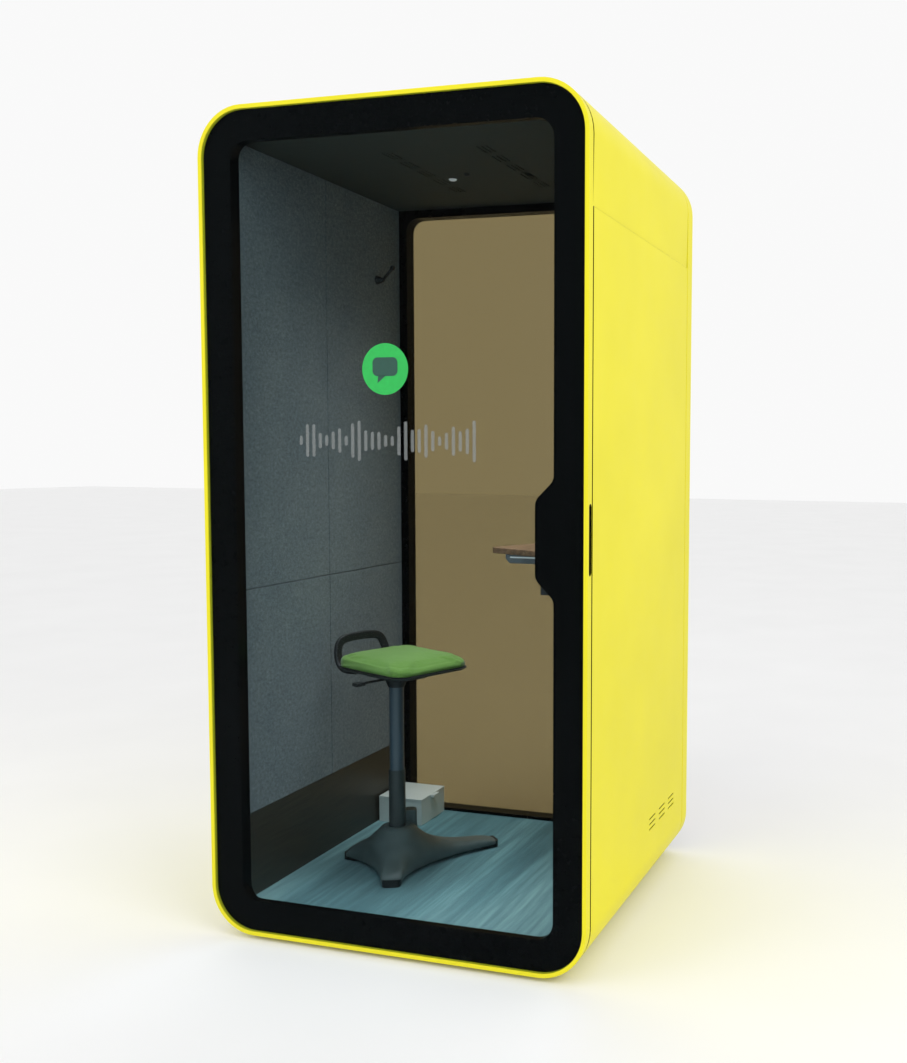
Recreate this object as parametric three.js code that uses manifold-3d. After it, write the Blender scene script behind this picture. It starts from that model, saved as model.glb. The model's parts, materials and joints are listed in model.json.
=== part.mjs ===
// Telephone booth: a rounded yellow cabin with a full-height glass door, a glass rear wall, felt walls,
// a corner desk, a sit-stand stool and a small lidded floor box. Millimetres, +Z up, +X to the right and
// +Y from the door to the rear. The origin is on the ground under the middle of the booth.
import * as THREE from 'three';
import { mergeVertices } from 'three/addons/utils/BufferGeometryUtils.js';
import Module from 'manifold-3d';

const wasm = await Module();
wasm.setup();

// ---------------------------------------------------------------- driving dimensions
const boothWidth = 1110;
const boothDepth = 1000;
const shellHeight = 2250;
const groundGap = 12; // from the ground to the underside of the shell
const cornerRadius = 132;
const skin = 2.5; // sheet thickness of the yellow panels
const touch = 0.3; // gap kept between pieces that touch
const rimWidth = 11; // how much of the rim shows from the front
const rimDepth = 30;
const rearRingDepth = 58;
const panelGap = 6; // shadow gap between rim and shell, and between shell and rear ring
const frameDepth = 34;
const wallThickness = 70; // from the outside to the felt
const feltThickness = 12;
const kickboardThickness = 10;
const carpetTop = 80;
const ceilingHeight = 2189;
const glassThickness = 8;
const seamHeight = 1956; // joint between the roof cap and the side panels
const seamHalfGap = 0.7;
const kickboardTop = 325;

// ---------------------------------------------------------------- places worked out from them
const halfWidth = boothWidth / 2;
const frontY = -boothDepth / 2;
const rearY = boothDepth / 2;
const shellLow = groundGap;
const shellHigh = groundGap + shellHeight;
const doorBackY = frontY + rimDepth;
const shellFrontY = doorBackY + panelGap;
const rearRingFrontY = rearY - rearRingDepth;
const shellRearY = rearRingFrontY - panelGap;
const cabinFrontY = shellFrontY + frameDepth;
const cabinRearY = rearRingFrontY - 2;
const innerHalfWidth = halfWidth - wallThickness;
const feltBackX = innerHalfWidth + feltThickness;
const coreInset = skin + 0.5; // what lies inside the yellow skin
const coreHalfWidth = halfWidth - coreInset;
const coreRadius = cornerRadius - coreInset;
const coreLow = shellLow + coreInset;
const cornerLowZ = shellLow + cornerRadius;
const cornerHighZ = shellHigh - cornerRadius;
const cornerX = halfWidth - cornerRadius;
const floorZ = carpetTop - 6;
const ceilingTop = ceilingHeight + 10;

// ---------------------------------------------------------------- materials
const paint = (color, roughness, metalness = 0) =>
  new THREE.MeshStandardMaterial({ color, roughness, metalness });
const yellow = paint(0xf2e84c, 0.35);
const black = paint(0x0b0c0c, 0.35);
const rubber = paint(0x101010, 0.9);
const felt = paint(0x6b7a8c, 0.95);
const darkBoard = paint(0x2a211d, 0.6);
const coreBoard = paint(0x8a8a84, 0.9);
const carpet = paint(0x3c6e78, 0.95);
const ceilingPaint = paint(0x6f8484, 0.8);
const steel = paint(0xb8bcc0, 0.35, 1);
const greyPlastic = paint(0x8f979c, 0.5);
const blackPlastic = paint(0x17191a, 0.55);
const whitePaint = paint(0xeef0ea, 0.5);
const lampWhite = paint(0xffffff, 0.4);
const wood = paint(0x8a6a4c, 0.5);
const greenFabric = paint(0x74a850, 0.85);
const pistonGrey = paint(0x5b6a78, 0.35, 0.6);
const glass = paint(0xb8c8c8, 0.05);
glass.transparent = true;
glass.opacity = 0.3;

// ---------------------------------------------------------------- tools for making solids
const booth = new THREE.Group();

function add(name, geometry, material) {
  const mesh = new THREE.Mesh(geometry, material);
  mesh.name = name;
  booth.add(mesh);
}

function plainMesh(geometry) {
  const bare = geometry.clone();
  bare.deleteAttribute('normal');
  bare.deleteAttribute('uv');
  return mergeVertices(bare, 1e-4);
}

function toSolid(geometry) {
  const merged = plainMesh(geometry);
  const vertProperties = new Float32Array(merged.attributes.position.array);
  const triVerts = new Uint32Array(merged.index.array);
  return new wasm.Manifold(new wasm.Mesh({ numProp: 3, vertProperties, triVerts }));
}

function toGeometry(solid) {
  const mesh = solid.getMesh();
  const geometry = new THREE.BufferGeometry();
  geometry.setAttribute('position', new THREE.BufferAttribute(new Float32Array(mesh.vertProperties), 3));
  geometry.setIndex(new THREE.BufferAttribute(new Uint32Array(mesh.triVerts), 1));
  return geometry;
}

function cut(geometry, tools) {
  let solid = toSolid(geometry);
  for (const tool of tools) solid = solid.subtract(toSolid(tool));
  return toGeometry(solid);
}

function join(pieces) {
  let solid = toSolid(pieces[0]);
  for (const piece of pieces.slice(1)) solid = solid.add(toSolid(piece));
  return toGeometry(solid);
}

function overlap(first, second) {
  return toGeometry(toSolid(first).intersect(toSolid(second)));
}

// Mirror across the YZ plane, with each triangle turned over so that it still faces outwards.
function mirrored(geometry) {
  const copy = plainMesh(geometry);
  copy.scale(-1, 1, 1);
  const index = copy.index.array;
  for (let corner = 0; corner < index.length; corner += 3) {
    [index[corner], index[corner + 1]] = [index[corner + 1], index[corner]];
  }
  return copy;
}

function box(x0, x1, y0, y1, z0, z1) {
  const geometry = new THREE.BoxGeometry(x1 - x0, y1 - y0, z1 - z0);
  return geometry.translate((x0 + x1) / 2, (y0 + y1) / 2, (z0 + z1) / 2);
}

// A shape drawn in X and Z, given a thickness along Y.
function slabAlongY(shape, y0, y1, curveSegments = 6) {
  const geometry = new THREE.ExtrudeGeometry(shape, { depth: y1 - y0, bevelEnabled: false, curveSegments });
  return geometry.rotateX(Math.PI / 2).translate(0, y1, 0);
}

// A shape drawn in Y and Z, given a thickness along X.
function slabAlongX(shape, x0, x1, curveSegments = 3) {
  const geometry = new THREE.ExtrudeGeometry(shape, { depth: x1 - x0, bevelEnabled: false, curveSegments });
  return geometry.rotateX(Math.PI / 2).rotateZ(Math.PI / 2).translate(x0, 0, 0);
}

// A shape drawn in X and Y, given a thickness along Z.
function plate(shape, z0, z1, curveSegments = 6) {
  const geometry = new THREE.ExtrudeGeometry(shape, { depth: z1 - z0, bevelEnabled: false, curveSegments });
  return geometry.translate(0, 0, z0);
}

// A round rod between two points.
function rod(radius, start, end, sides = 20, endRadius = radius) {
  const from = new THREE.Vector3(...start);
  const along = new THREE.Vector3(...end).sub(from);
  const geometry = new THREE.CylinderGeometry(endRadius, radius, along.length(), sides);
  geometry.translate(0, along.length() / 2, 0);
  const upright = new THREE.Vector3(0, 1, 0);
  const turn = new THREE.Quaternion().setFromUnitVectors(upright, along.clone().normalize());
  return geometry.applyQuaternion(turn).translate(from.x, from.y, from.z);
}

// A solid of revolution about the vertical through (x, y); profile is a list of [radius, z].
function turned(profile, x, y, sides = 24) {
  const points = profile.map(([radius, z]) => new THREE.Vector2(radius, z));
  return new THREE.LatheGeometry(points, sides).rotateX(Math.PI / 2).translate(x, y, 0);
}

function roundedRectangle(x0, x1, z0, z1, radius, PathType = THREE.Shape) {
  const path = new PathType();
  path.absarc(x1 - radius, z1 - radius, radius, 0, Math.PI / 2);
  path.absarc(x0 + radius, z1 - radius, radius, Math.PI / 2, Math.PI);
  path.absarc(x0 + radius, z0 + radius, radius, Math.PI, 1.5 * Math.PI);
  path.absarc(x1 - radius, z0 + radius, radius, 1.5 * Math.PI, 2 * Math.PI);
  path.closePath();
  return path;
}

// The booth's outline, moved inwards by an inset.
const outline = (inset, PathType = THREE.Shape) => roundedRectangle(
  -halfWidth + inset, halfWidth - inset, shellLow + inset, shellHigh - inset, cornerRadius - inset, PathType);

function ring(shape, hole) {
  shape.holes.push(hole);
  return shape;
}

// ---------------------------------------------------------------- yellow shell
const ventSlot = {
  groups: 3, firstY: 56, pitchY: 104, length: 66,
  rows: 3, lowZ: 223, pitchZ: 16, height: 5,
};

// Side skin from the seam down and round the bottom corner, drawn for the right side.
function sideSkinShape() {
  const shape = new THREE.Shape();
  shape.moveTo(halfWidth - skin, seamHeight - seamHalfGap);
  shape.absarc(cornerX, cornerLowZ, cornerRadius - skin, 0, -Math.PI / 2, true);
  shape.absarc(cornerX, cornerLowZ, cornerRadius, -Math.PI / 2, 0);
  shape.lineTo(halfWidth, seamHeight - seamHalfGap);
  shape.closePath();
  return shape;
}

function ventCutters() {
  const cutters = [];
  for (let group = 0; group < ventSlot.groups; group += 1) {
    for (let row = 0; row < ventSlot.rows; row += 1) {
      const y = ventSlot.firstY + group * ventSlot.pitchY;
      const z = ventSlot.lowZ + row * ventSlot.pitchZ;
      const endRadius = ventSlot.height / 2 - 0.1;
      const shape = roundedRectangle(y, y + ventSlot.length, z, z + ventSlot.height, endRadius);
      cutters.push(slabAlongX(shape, halfWidth - 3 * skin, halfWidth + skin, 1));
    }
  }
  return cutters;
}

const inlet = { y: 385, z: 200, halfY: 16, halfZ: 24, depth: 34 };
const exhaust = { count: 5, pitch: 22, width: 8, length: 100 };
const fan = { x: 145, y: 10, half: 60, bore: 56, depth: 25 };

function roofSkin() {
  const shape = new THREE.Shape();
  shape.moveTo(halfWidth, seamHeight + seamHalfGap);
  shape.absarc(cornerX, cornerHighZ, cornerRadius, 0, Math.PI / 2);
  shape.absarc(-cornerX, cornerHighZ, cornerRadius, Math.PI / 2, Math.PI);
  shape.lineTo(-halfWidth, seamHeight + seamHalfGap);
  shape.lineTo(-halfWidth + skin, seamHeight + seamHalfGap);
  shape.absarc(-cornerX, cornerHighZ, cornerRadius - skin, Math.PI, Math.PI / 2, true);
  shape.absarc(cornerX, cornerHighZ, cornerRadius - skin, Math.PI / 2, 0, true);
  shape.lineTo(halfWidth - skin, seamHeight + seamHalfGap);
  shape.closePath();
  const cutters = [];
  for (const side of [-1, 1]) {
    for (let slot = 0; slot < exhaust.count; slot += 1) {
      const x = side * fan.x + (slot - (exhaust.count - 1) / 2) * exhaust.pitch;
      const half = exhaust.length / 2;
      cutters.push(box(x - exhaust.width / 2, x + exhaust.width / 2, fan.y - half, fan.y + half,
        shellHigh - 2 * skin, shellHigh + skin));
    }
  }
  return cut(slabAlongY(shape, shellFrontY, shellRearY), cutters);
}

const sideSkin = slabAlongY(sideSkinShape(), shellFrontY, shellRearY);
const inletHole = (grow, x0, x1) => box(x0, x1, inlet.y - inlet.halfY - grow, inlet.y + inlet.halfY + grow,
  inlet.z - inlet.halfZ - grow, inlet.z + inlet.halfZ + grow);
add('roof_shell', roofSkin(), yellow);
add('right_side_shell', cut(sideSkin, ventCutters()), yellow);
const inletInSkin = inletHole(touch, -halfWidth - skin, -halfWidth + 2 * skin);
add('left_side_shell', cut(mirrored(sideSkin), [inletInSkin]), yellow);

const foot = { x: 400, y: 340, padRadius: 25, stemRadius: 6, stemTop: 40 };
const footPlaces = [[-foot.x, -foot.y], [foot.x, -foot.y], [foot.x, foot.y], [-foot.x, foot.y]];
const footHoles = (radius, z0, z1) => footPlaces.map(([x, y]) => rod(radius, [x, y, z0], [x, y, z1], 12));
add('bottom_tray', cut(box(-cornerX + 1, cornerX - 1, shellFrontY, shellRearY, shellLow, shellLow + skin),
  footHoles(foot.stemRadius + 3, shellLow - 1, shellLow + skin + 1)), yellow);

// ---------------------------------------------------------------- frames, glass and seal
const clearInset = rimWidth + 0.4; // what sits inside the rims
const doorOpening = { half: 461, low: 107, high: 2170, radius: 50 };
const bulge = { depth: 50, low: 987, high: 1286, slope: 50, blend: 12 };
const frontOpening = { half: 478, low: 84, high: 2183, radius: 45 };
const rearOpening = { half: 457, low: 90, high: 2163, radius: 45 };
const openingPath = ({ half, low, high, radius }, grow = 0) => roundedRectangle(
  -half - grow, half + grow, low - grow, high + grow, radius + grow, THREE.Path);

// The clear opening of the door, which steps inwards on the right where the lock and pull are fixed.
function doorOpeningPath() {
  const { half, low, high, radius } = doorOpening;
  const stepX = half - bulge.depth;
  const path = new THREE.Path();
  path.moveTo(half, bulge.high + bulge.blend);
  path.absarc(half - radius, high - radius, radius, 0, Math.PI / 2);
  path.absarc(-half + radius, high - radius, radius, Math.PI / 2, Math.PI);
  path.absarc(-half + radius, low + radius, radius, Math.PI, 1.5 * Math.PI);
  path.absarc(half - radius, low + radius, radius, 1.5 * Math.PI, 2 * Math.PI);
  path.lineTo(half, bulge.low - bulge.blend);
  path.quadraticCurveTo(half, bulge.low, half - bulge.blend, bulge.low + bulge.blend);
  path.lineTo(stepX + bulge.blend, bulge.low + bulge.slope - bulge.blend);
  path.quadraticCurveTo(stepX, bulge.low + bulge.slope, stepX, bulge.low + bulge.slope + bulge.blend);
  path.lineTo(stepX, bulge.high - bulge.slope - bulge.blend);
  path.quadraticCurveTo(stepX, bulge.high - bulge.slope,
    stepX + bulge.blend, bulge.high - bulge.slope + bulge.blend);
  path.lineTo(half - bulge.blend, bulge.high - bulge.blend);
  path.quadraticCurveTo(half, bulge.high, half, bulge.high + bulge.blend);
  path.closePath();
  return path;
}

const pull = { y: frontY + 19.5, z: 1140, halfLength: 90, halfWidth: 9, floorX: 520, wall: 2 };
const pullShape = (grow) => roundedRectangle(pull.y - pull.halfWidth - grow, pull.y + pull.halfWidth + grow,
  pull.z - pull.halfLength - grow, pull.z + pull.halfLength + grow, pull.halfWidth + grow - 0.1);
const hingeAxis = { x: -halfWidth + 4, y: doorBackY };
const hinge = {
  places: [['top', 1900], ['bottom', 360]],
  half: 45, // half the height of a hinge
  radius: 3.5,
  pin: 1.8,
  bore: 2.1,
  leafEnd: 46,
};
const hingeNotches = hinge.places.map(([, z]) => box(-halfWidth - 1, hingeAxis.x + 8,
  hingeAxis.y - hinge.radius - 1, hingeAxis.y + 1, z - hinge.half - 1, z + hinge.half + 1));
const lock = { x0: 418, x1: 474, y0: doorBackY + touch, y1: doorBackY + 22, z0: 996, z1: 1066 };
const bolt = { y: doorBackY + 11, z: 1031, halfY: 5, halfZ: 8, x0: 446, x1: 473.5, travel: 14 };
const boltSlot = (grow, x0, x1) => box(x0, x1, bolt.y - bolt.halfY - grow, bolt.y + bolt.halfY + grow,
  bolt.z - bolt.halfZ - grow, bolt.z + bolt.halfZ + grow);

add('door_rim', cut(slabAlongY(ring(outline(0), outline(rimWidth, THREE.Path)), frontY, doorBackY),
  [slabAlongX(pullShape(touch), halfWidth - rimWidth - 2, halfWidth + 2), ...hingeNotches]), yellow);
add('door_glass', slabAlongY(outline(clearInset), frontY + 2, frontY + 2 + glassThickness), glass);
const doorFrameY = frontY + 2 + glassThickness + touch;
add('door_frame', cut(slabAlongY(ring(outline(clearInset), doorOpeningPath()), doorFrameY, doorBackY),
  [slabAlongX(pullShape(touch), pull.floorX - touch, halfWidth)]), black);
add('pull_cup', cut(slabAlongX(pullShape(0), pull.floorX, halfWidth - 0.8),
  [slabAlongX(pullShape(-pull.wall), pull.floorX + pull.wall, halfWidth + 1)]), blackPlastic);

const frontRing = ring(outline(coreInset), openingPath(frontOpening));
const strike = boltSlot(1.5, frontOpening.half - 1, frontOpening.half + bolt.travel + 4);
add('front_frame', cut(slabAlongY(frontRing, shellFrontY, cabinFrontY - touch), [strike]), black);
const seal = { inner: 6, outer: 18 }; // how far its edges lie outside the frame's opening
const sealOutline = roundedRectangle(
  -frontOpening.half - seal.outer, frontOpening.half + seal.outer, frontOpening.low - seal.outer,
  frontOpening.high + seal.outer, frontOpening.radius + seal.outer);
add('door_seal', slabAlongY(ring(sealOutline, openingPath(frontOpening, seal.inner)),
  doorBackY + touch, shellFrontY - touch), rubber);
add('rear_frame', slabAlongY(ring(outline(clearInset), openingPath(rearOpening)),
  cabinRearY, rearY - 2 - glassThickness - touch), black);
add('rear_glass', slabAlongY(outline(clearInset), rearY - 2 - glassThickness, rearY - 2), glass);
add('rear_ring', slabAlongY(ring(outline(0), outline(rimWidth, THREE.Path)), rearRingFrontY, rearY), yellow);

// ---------------------------------------------------------------- hinges, lock and pull of the door
function hingeFrameHalf(z) {
  const { x, y } = hingeAxis;
  const leafFront = shellFrontY - touch - 1.7;
  return join([
    rod(hinge.radius, [x, y, z - hinge.half], [x, y, z - 0.5], 16),
    box(x, x + 6, y + 2, shellFrontY - touch, z - hinge.half, z - 0.5),
    box(x + 5, x + hinge.leafEnd, leafFront, shellFrontY - touch, z - hinge.half, z + hinge.half),
    rod(hinge.pin, [x, y, z - 2], [x, y, z + hinge.half - 3], 12),
  ]);
}

function hingeDoorHalf(z) {
  const { x, y } = hingeAxis;
  const barrel = cut(rod(hinge.radius, [x, y, z + 0.5], [x, y, z + hinge.half], 16),
    [rod(hinge.bore, [x, y, z - 1], [x, y, z + hinge.half + 1], 12)]);
  return join([
    barrel,
    box(x + hinge.bore + 0.5, x + 6, y + touch, y + 1.9, z + 0.5, z + hinge.half),
    box(x + 5, x + hinge.leafEnd, y + touch, y + 1.9, z - hinge.half, z + hinge.half),
  ]);
}

for (const [place, z] of hinge.places) {
  add(`hinge_${place}_frame_half`, hingeFrameHalf(z), steel);
  add(`hinge_${place}_door_half`, hingeDoorHalf(z), steel);
}

add('lock_case', cut(box(lock.x0, lock.x1, lock.y0, lock.y1, lock.z0, lock.z1),
  [boltSlot(0.5, bolt.x0 - bolt.travel, lock.x1 + 1)]), blackPlastic);
add('lock_bolt', boltSlot(0, bolt.x0, bolt.x1), steel);

const thumb = { x: 440, z: bolt.z, y0: lock.y1 + touch, rose: 15, roseDepth: 5, reach: 18, half: 13 };
add('thumb_turn', join([
  rod(thumb.rose, [thumb.x, thumb.y0, thumb.z], [thumb.x, thumb.y0 + thumb.roseDepth, thumb.z], 24),
  box(thumb.x - 3, thumb.x + 3, thumb.y0 + thumb.roseDepth - 1, thumb.y0 + thumb.reach,
    thumb.z - thumb.half, thumb.z + thumb.half),
]), steel);

const indicator = { z: pull.z - 76, radius: 5, x0: pull.floorX + pull.wall + touch, x1: pull.floorX + 10 };
add('lock_indicator', join([
  rod(indicator.radius, [indicator.x0, pull.y, indicator.z], [indicator.x1, pull.y, indicator.z], 20),
  box(indicator.x1 - 1, indicator.x1 + 1.5, pull.y - 1, pull.y + 1, indicator.z - 4, indicator.z + 4),
]), greyPlastic);

const bar = { x: 442, low: 1092, high: 1252, radius: 7, postRadius: 6, postInset: 18 };
const barFootY = doorBackY + touch;
const barY = barFootY + 42;
add('inner_pull', join([
  rod(bar.radius, [bar.x, barY, bar.low], [bar.x, barY, bar.high], 16),
  ...[bar.low + bar.postInset, bar.high - bar.postInset].map((z) => (
    rod(bar.postRadius, [bar.x, barFootY, z], [bar.x, barY, z], 16))),
]), steel);

// ---------------------------------------------------------------- cores of the walls, roof and base
const duct = box(coreHalfWidth - 40, coreHalfWidth + 1, ventSlot.firstY - 16, ventSlot.firstY + 290,
  ventSlot.lowZ - 22, ventSlot.lowZ + 60);
const wallCore = box(feltBackX + touch, coreHalfWidth - touch, cabinFrontY, cabinRearY - touch,
  cornerLowZ + touch, cornerHighZ - touch);
add('right_wall_core', cut(wallCore, [duct]), coreBoard);
const inletPocket = inletHole(2, -coreHalfWidth - 1, -halfWidth + inlet.depth + 4);
add('left_wall_core', cut(mirrored(wallCore), [inletPocket]), coreBoard);

function roofCore() {
  const shape = new THREE.Shape();
  shape.moveTo(coreHalfWidth, cornerHighZ);
  shape.absarc(cornerX, cornerHighZ, coreRadius, 0, Math.PI / 2);
  shape.absarc(-cornerX, cornerHighZ, coreRadius, Math.PI / 2, Math.PI);
  shape.lineTo(-feltBackX - touch, cornerHighZ);
  shape.lineTo(-feltBackX - touch, ceilingTop + touch);
  shape.lineTo(feltBackX + touch, ceilingTop + touch);
  shape.lineTo(feltBackX + touch, cornerHighZ);
  shape.closePath();
  const wellHalf = fan.half + 2;
  const wells = [-fan.x, fan.x].map((x) => (
    box(x - wellHalf, x + wellHalf, fan.y - wellHalf, fan.y + wellHalf, ceilingTop - 1, shellHigh)));
  return cut(slabAlongY(shape, cabinFrontY, cabinRearY - touch), wells);
}

function baseFrame() {
  const shape = new THREE.Shape();
  shape.moveTo(feltBackX + touch, cornerLowZ);
  shape.lineTo(feltBackX + touch, floorZ);
  shape.lineTo(-feltBackX - touch, floorZ);
  shape.lineTo(-feltBackX - touch, cornerLowZ);
  shape.lineTo(-coreHalfWidth, cornerLowZ);
  shape.absarc(-cornerX, cornerLowZ, coreRadius, Math.PI, 1.5 * Math.PI);
  shape.absarc(cornerX, cornerLowZ, coreRadius, 1.5 * Math.PI, 2 * Math.PI);
  shape.closePath();
  return cut(slabAlongY(shape, cabinFrontY, cabinRearY - touch),
    footHoles(foot.stemRadius + 0.6, coreLow - 1, foot.stemTop + 1));
}

add('roof_core', roofCore(), coreBoard);
add('base_frame', baseFrame(), blackPlastic);
footPlaces.forEach(([x, y], number) => {
  const profile = [[0, 0], [foot.padRadius, 0], [foot.padRadius, 5], [foot.padRadius - 6, 9],
    [foot.stemRadius, 9], [foot.stemRadius, foot.stemTop], [0, foot.stemTop]];
  add(`foot_${number + 1}`, turned(profile, x, y, 20), blackPlastic);
});

const socket = box(-halfWidth - 1, -halfWidth + inlet.depth - 8, inlet.y - 12, inlet.y + 12,
  inlet.z - 16, inlet.z + 16);
add('power_inlet', cut(inletHole(0, -halfWidth, -halfWidth + inlet.depth), [socket]), blackPlastic);

// ---------------------------------------------------------------- linings
const seamY = -10; // upright joint between the front and rear felt panels
const liningFront = cabinFrontY;
const liningRear = cabinRearY - touch;
const feltPanel = (y0, y1) => box(
  innerHalfWidth, feltBackX, y0, y1, kickboardTop + touch, ceilingHeight - touch);
for (const [place, y0, y1] of [['front', liningFront, seamY - 1], ['rear', seamY + 1, liningRear]]) {
  add(`felt_right_${place}`, feltPanel(y0, y1), felt);
  add(`felt_left_${place}`, mirrored(feltPanel(y0, y1)), felt);
}
const kickboard = box(
  feltBackX - kickboardThickness, feltBackX, liningFront, liningRear, carpetTop, kickboardTop);
add('kickboard_right', kickboard, darkBoard);
add('kickboard_left', mirrored(kickboard), darkBoard);
add('floor_carpet', box(
  -feltBackX, feltBackX, liningFront, liningRear, floorZ + touch, carpetTop - touch), carpet);

const slotRow = {
  x: fan.x, lines: 3, pitchX: 14, width: 5,
  firstY: -231, groups: 5, pitchY: 100, length: 68,
};

function ceilingPanel() {
  const cutters = [];
  for (const side of [-1, 1]) {
    for (let group = 0; group < slotRow.groups; group += 1) {
      for (let line = 0; line < slotRow.lines; line += 1) {
        const x = side * slotRow.x + (line - 1) * slotRow.pitchX;
        const y = slotRow.firstY + group * slotRow.pitchY;
        cutters.push(box(x - slotRow.width / 2, x + slotRow.width / 2, y, y + slotRow.length,
          ceilingHeight - 1, ceilingTop + 1));
      }
    }
  }
  return cut(box(-feltBackX, feltBackX, liningFront, liningRear, ceilingHeight, ceilingTop), cutters);
}

add('ceiling_panel', ceilingPanel(), ceilingPaint);
const underCeiling = ceilingHeight - touch;
const light = { x: -97, y: 79, depth: 4, lensRadius: 9, radius: 13 };
const lightProfile = [[0, underCeiling - light.depth], [light.lensRadius, underCeiling - light.depth],
  [light.radius, underCeiling], [0, underCeiling]];
add('ceiling_light', turned(lightProfile, light.x, light.y, 24), lampWhite);
const sensor = { x: -25, y: 29, depth: 9, shoulder: 7, lensRadius: 6, radius: 11 };
const sensorProfile = [[0, underCeiling - sensor.depth], [sensor.lensRadius, underCeiling - sensor.shoulder],
  [sensor.radius, underCeiling], [0, underCeiling]];
add('motion_sensor', turned(sensorProfile, sensor.x, sensor.y, 20), blackPlastic);

// ---------------------------------------------------------------- fans over the ceiling slots
const fanLow = ceilingTop + touch;

function fanHousing(x) {
  const shape = roundedRectangle(x - fan.half, x + fan.half, fan.y - fan.half, fan.y + fan.half, 6);
  const bore = new THREE.Path();
  bore.absarc(x, fan.y, fan.bore, 0, 2 * Math.PI);
  shape.holes.push(bore);
  const frame = plate(shape, fanLow, fanLow + fan.depth, 10);
  const top = fanLow + fan.depth;
  return join([
    frame,
    rod(18, [x, fan.y, top - 4], [x, fan.y, top], 20),
    box(x - fan.bore - 2, x + fan.bore + 2, fan.y - 3, fan.y + 3, top - 4, top),
    box(x - 3, x + 3, fan.y - fan.bore - 2, fan.y + fan.bore + 2, top - 4, top),
  ]);
}

function fanRotor(x) {
  const low = fanLow + 3;
  const high = fanLow + fan.depth - 4.5;
  const pieces = [rod(18, [x, fan.y, low], [x, fan.y, high], 20)];
  const blades = 7;
  for (let blade = 0; blade < blades; blade += 1) {
    const shape = new THREE.BoxGeometry(38, 26, 1.6);
    shape.rotateX(0.5).translate(34, 0, (low + high) / 2);
    shape.rotateZ((2 * Math.PI * blade) / blades).translate(x, fan.y, 0);
    pieces.push(shape);
  }
  return join(pieces);
}

for (const [place, x] of [['left', -fan.x], ['right', fan.x]]) {
  add(`fan_housing_${place}`, fanHousing(x), blackPlastic);
  add(`fan_rotor_${place}`, fanRotor(x), blackPlastic);
}

// ---------------------------------------------------------------- desk
const desk = { top: 1062, thickness: 18, wallX: innerHalfWidth - touch, frontY: -160, rearY: 400 };
const deskLow = desk.top - desk.thickness;
const tip = { x: 30, y: 80 }; // the blunt nose that points into the cabin

// From the wall along the rear, round to the nose, and back to the wall in one long sweep.
function deskShape() {
  const rearCorner = { x: 240, cornerX: 150, sideX: 110, sideY: 290 };
  const shape = new THREE.Shape();
  shape.moveTo(desk.wallX, desk.frontY);
  shape.lineTo(desk.wallX, desk.rearY);
  shape.lineTo(rearCorner.x, desk.rearY);
  shape.quadraticCurveTo(rearCorner.cornerX, desk.rearY, rearCorner.sideX, rearCorner.sideY);
  shape.lineTo(tip.x + 6, tip.y + 26);
  shape.quadraticCurveTo(tip.x - 8, tip.y - 8, tip.x + 24, tip.y - 12);
  shape.bezierCurveTo(tip.x + 170, tip.y - 70, tip.x + 270, tip.y - 120, tip.x + 330, tip.y - 190);
  shape.quadraticCurveTo(tip.x + 370, desk.frontY, desk.wallX, desk.frontY);
  shape.closePath();
  return shape;
}

add('desk_top', plate(deskShape(), deskLow, desk.top, 4), wood);
const underDesk = deskLow - touch;
const bracket = { thickness: 4, y0: -90, y1: 330, height: 80 };
const bracketArm = { x: 320, y0: 60, y1: 180, thickness: 5 };
add('desk_bracket', join([
  box(desk.wallX - bracket.thickness, desk.wallX, bracket.y0, bracket.y1,
    underDesk - bracket.height, underDesk),
  box(bracketArm.x, desk.wallX, bracketArm.y0, bracketArm.y1, underDesk - bracketArm.thickness, underDesk),
]), blackPlastic);

const module = { x0: 84, x1: 300, y0: 62, y1: 150, height: 28, bevel: 14 };
const moduleLow = underDesk - module.height;
function moduleShape() {
  const shape = new THREE.Shape();
  shape.moveTo(module.x0 + module.bevel, moduleLow);
  shape.lineTo(module.x1 - module.bevel, moduleLow);
  shape.lineTo(module.x1, moduleLow + module.bevel);
  shape.lineTo(module.x1, underDesk);
  shape.lineTo(module.x0, underDesk);
  shape.lineTo(module.x0, moduleLow + module.bevel);
  shape.closePath();
  return shape;
}
const strip = { z: moduleLow + 17, height: 4, thickness: 1.2, x0: module.x0 + 16, x1: module.x1 - 10 };
add('power_module', slabAlongY(moduleShape(), module.y0, module.y1), greyPlastic);
add('module_light', box(strip.x0, strip.x1, module.y0 - touch - strip.thickness, module.y0 - touch,
  strip.z, strip.z + strip.height), lampWhite);

// ---------------------------------------------------------------- coat hook
const hook = {
  x: -innerHalfWidth + touch, y: 290, z: 1930, // where it meets the felt
  base: 15, neck: 6, coneLength: 26, arm: 5, ball: 9,
};
const hookTip = [hook.x + 58, hook.y, hook.z + 38];
add('coat_hook', join([
  rod(hook.base, [hook.x, hook.y, hook.z], [hook.x + hook.coneLength, hook.y, hook.z], 20, hook.neck),
  rod(hook.arm, [hook.x + hook.coneLength - 4, hook.y, hook.z], hookTip, 12),
  new THREE.SphereGeometry(hook.ball, 14, 10).translate(...hookTip),
]), blackPlastic);

// ---------------------------------------------------------------- stool
const stool = { x: -225, y: -60, seatTurn: -22, hubTop: 202 };
const radians = (degrees) => (degrees * Math.PI) / 180;
const columnTop = 378;
const seatLow = 692;
const mechanismHeight = 27;
const padLow = 702;
const padTop = 747;

// Place a geometry made about the stool's own axis, turned by an angle in degrees.
const atStool = (geometry, turn) => geometry.rotateZ(radians(turn)).translate(stool.x, stool.y, 0);

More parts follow.
